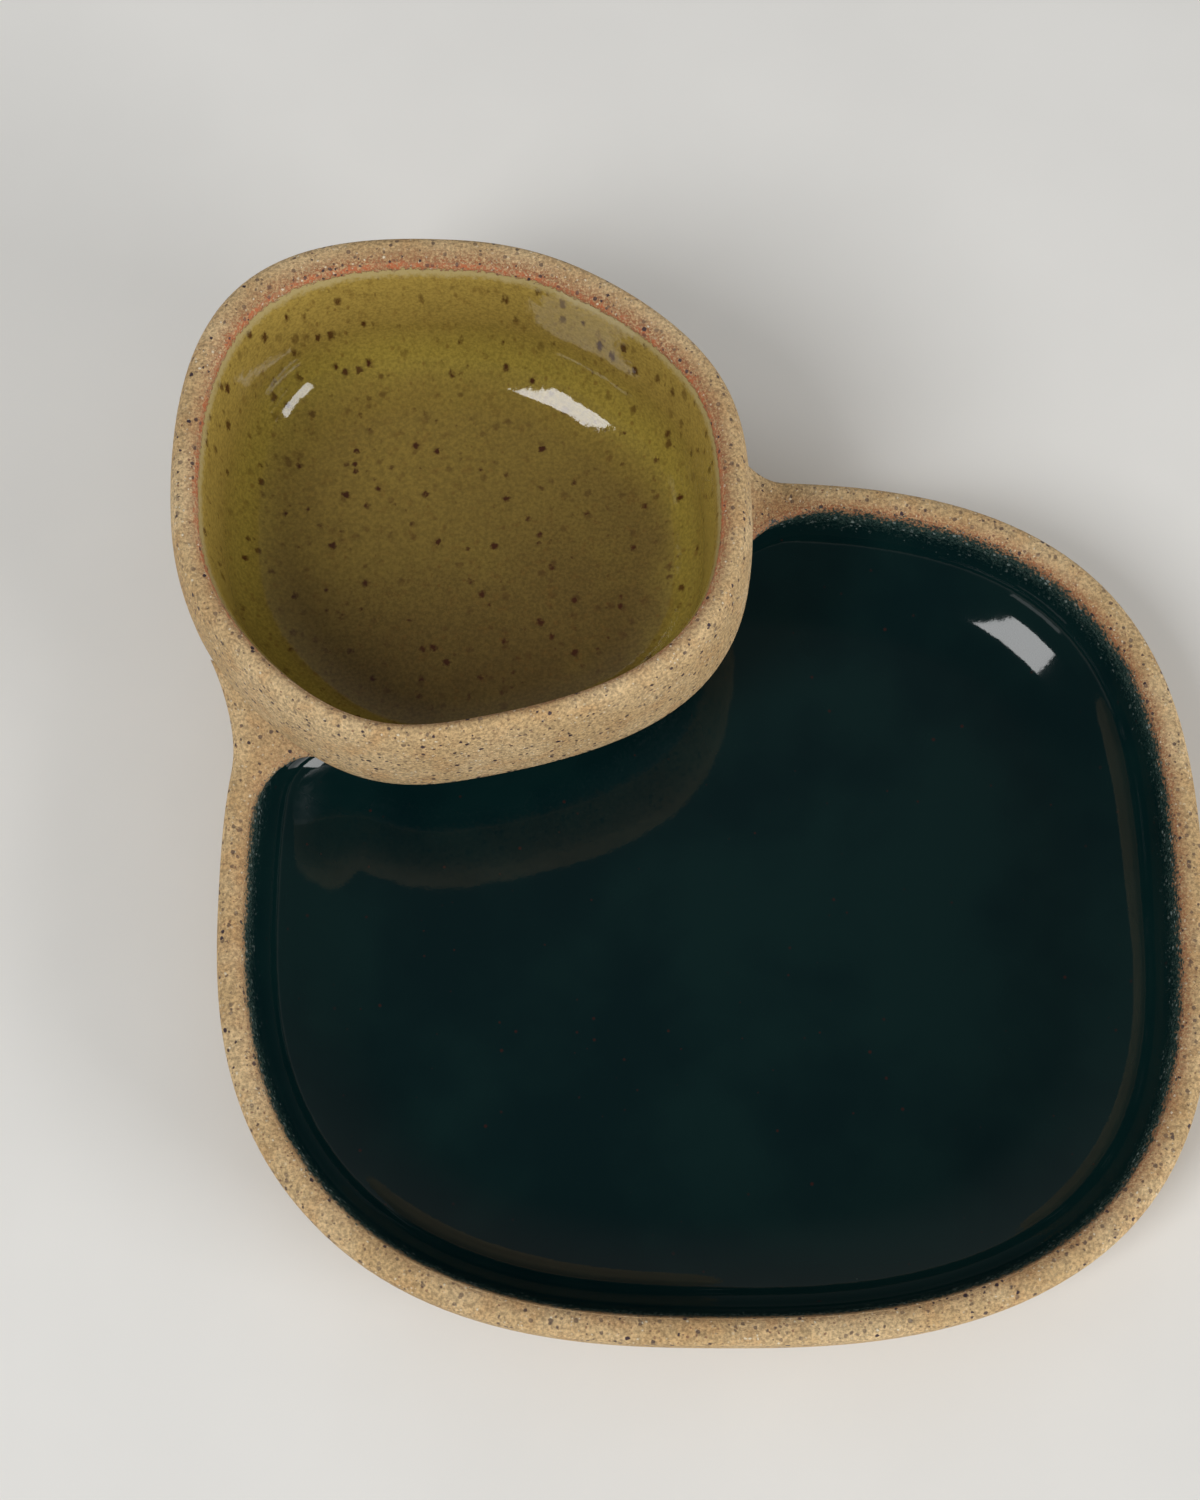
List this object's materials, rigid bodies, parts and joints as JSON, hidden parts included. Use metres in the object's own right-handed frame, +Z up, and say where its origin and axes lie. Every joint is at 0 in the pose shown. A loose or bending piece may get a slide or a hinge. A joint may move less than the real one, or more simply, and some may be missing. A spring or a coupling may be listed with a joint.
{
  "type": "chip and dip bowl",
  "caption": "Stoneware serving bowl: a wide shallow rounded bowl whose wall hugs a smaller, taller dip bowl set into its back left corner, each lined with its own glaze.",
  "frame": {"origin": "on the table, under the middle of the whole piece's plan box", "axes": "+Z up, -Y toward the front of the chip bowl, and the dip bowl at the back left, toward -X and +Y"},
  "size_m": [0.2388, 0.2512, 0.07],
  "materials": {
    "clay": "bare speckled stoneware, matte",
    "slip": "fired slip, matte",
    "teal_glaze": "dark teal, glossy, with sparse rust specks",
    "olive_glaze": "olive, glossy, with brown specks"
  },
  "bodies": {
    "root": {"chip_bowl": "clay", "chip_foot": "clay", "dip_bowl": "clay", "dip_foot": "clay", "luting_slip": "slip", "left_join_coil": "clay", "right_join_coil": "clay", "chip_glaze": "teal_glaze", "dip_glaze": "olive_glaze"}
  },
  "joints": []
}
